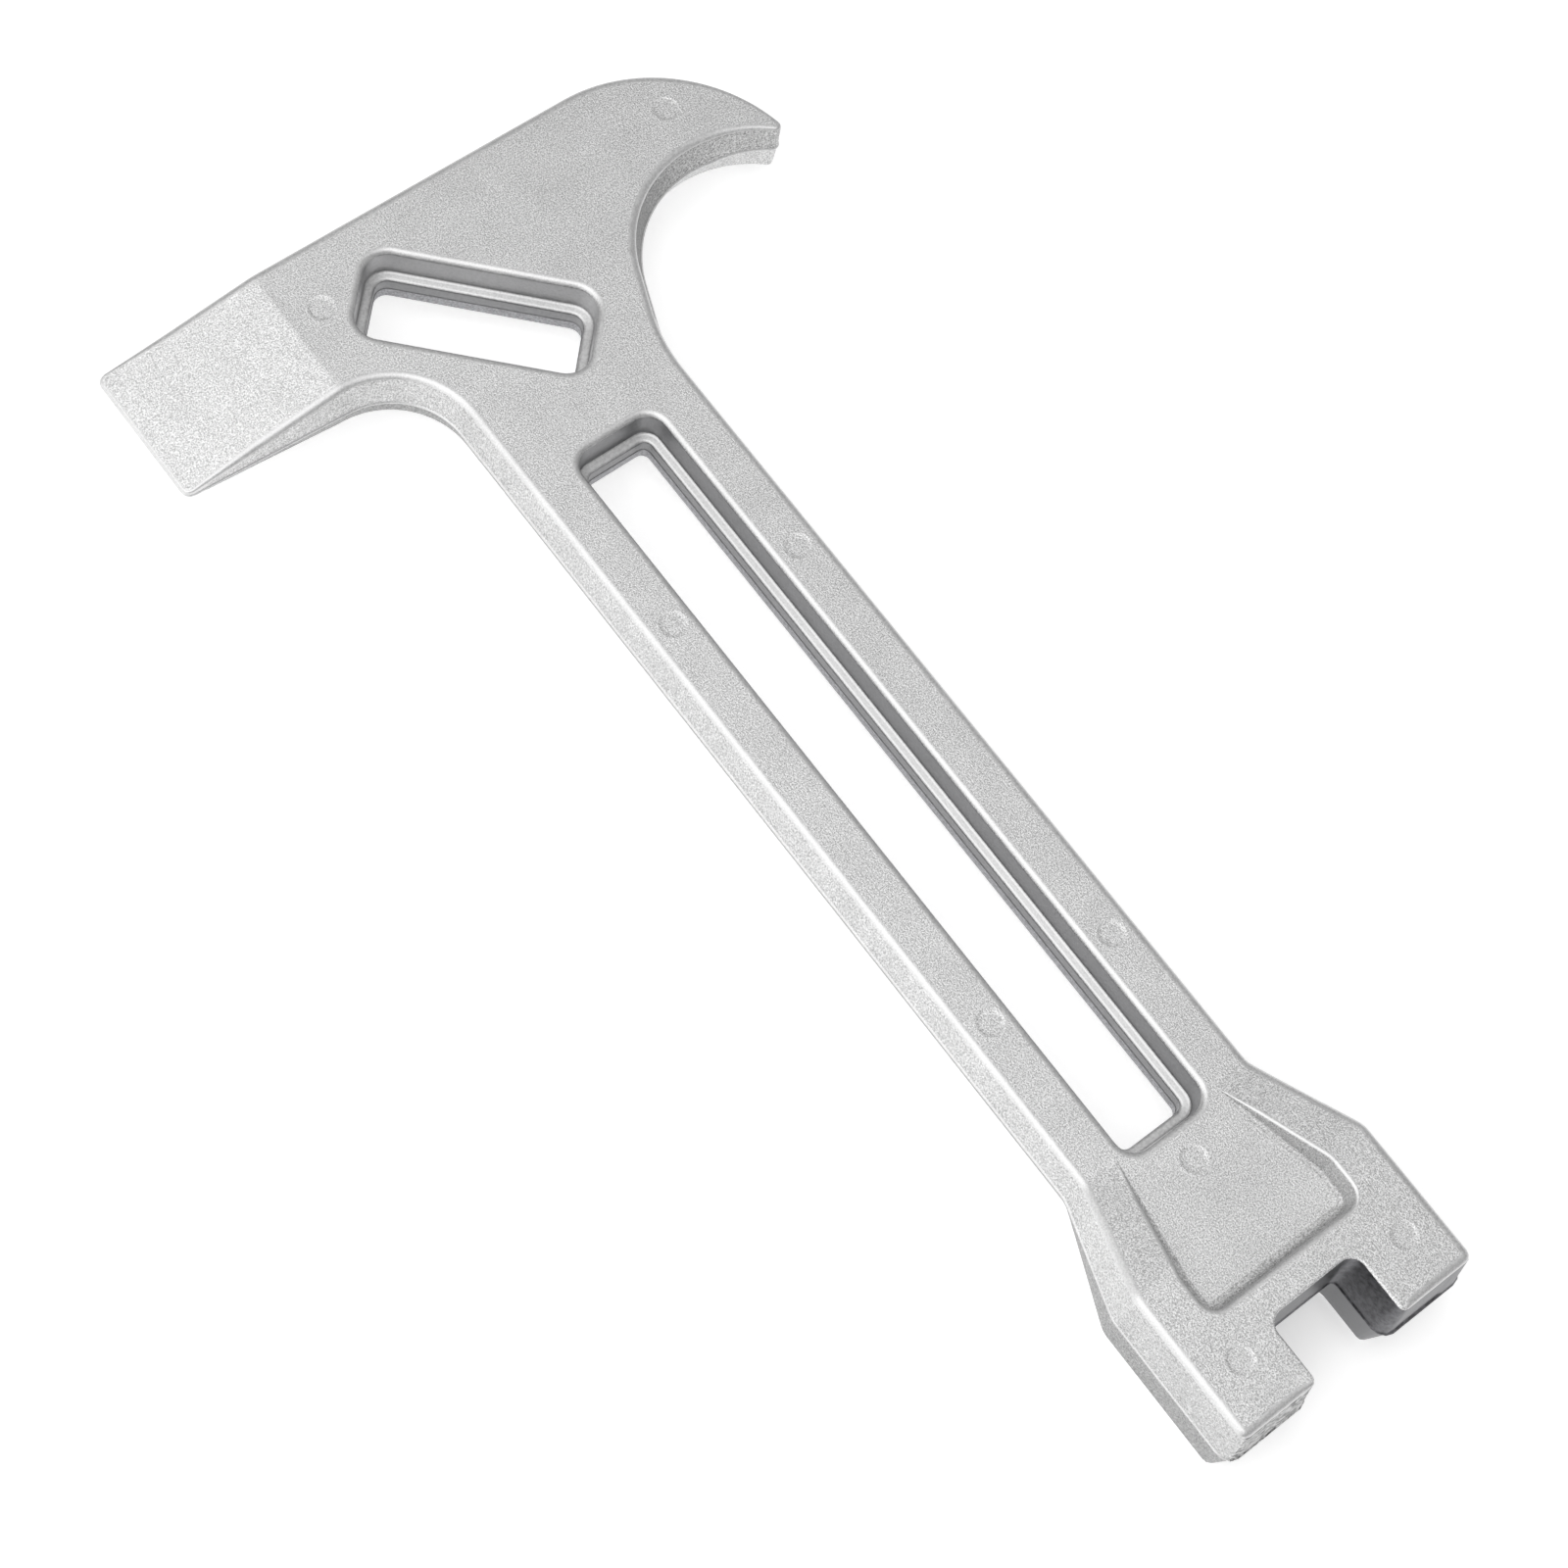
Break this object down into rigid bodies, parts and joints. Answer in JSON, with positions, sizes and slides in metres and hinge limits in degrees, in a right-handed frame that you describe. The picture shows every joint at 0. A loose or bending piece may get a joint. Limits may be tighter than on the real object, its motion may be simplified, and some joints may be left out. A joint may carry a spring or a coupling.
{
  "type": "fire hydrant wrench",
  "caption": "Flat one-piece cast wrench with a hook, a pry blade, a slanting window in the head, a slotted handle and a thick flared foot with a square end notch.",
  "frame": {"origin": "below the middle of the tool, level with the underside of the foot that it rests on", "axes": "+Y along the handle from the foot to the head, +X from the handle towards the hook, +Z square to the flat faces"},
  "size_m": [0.1413, 0.284, 0.0245],
  "materials": {
    "cast_aluminium": "matte silver, shot-blasted die casting with a fine grain"
  },
  "bodies": {
    "root": {"wrench_casting": "cast_aluminium"}
  },
  "joints": []
}
